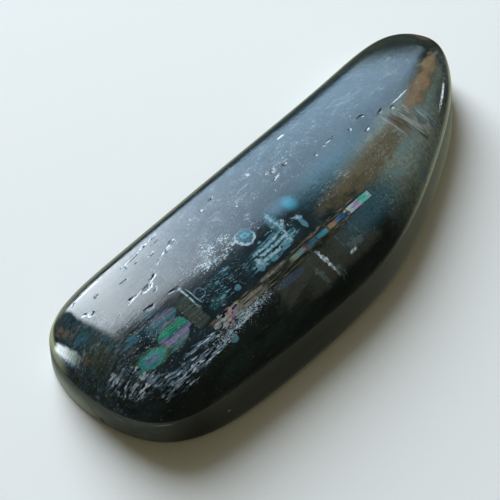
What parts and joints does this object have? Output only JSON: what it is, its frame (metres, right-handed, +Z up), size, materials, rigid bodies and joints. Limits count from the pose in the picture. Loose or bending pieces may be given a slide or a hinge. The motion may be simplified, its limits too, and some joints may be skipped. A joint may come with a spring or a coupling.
{
  "type": "polished kyanite cabochon",
  "caption": "Loose polished stone, a long blade-shaped freeform cabochon with a domed crown, a satin side wall and a flat base that it rests on.",
  "frame": {"origin": "middle of the base, on the surface that the stone lies on", "axes": "+X along the stone from its blunt end to its narrow end, parallel to its straight long side; +Y towards the straight side; +Z up out of the base"},
  "size_m": [0.0458, 0.0156, 0.0057],
  "materials": {
    "polished_kyanite": "polished crown, satin wall and base; dark teal with brown, cyan and iridescent cleavage flashes"
  },
  "bodies": {
    "root": {"kyanite": "polished_kyanite"}
  },
  "joints": []
}
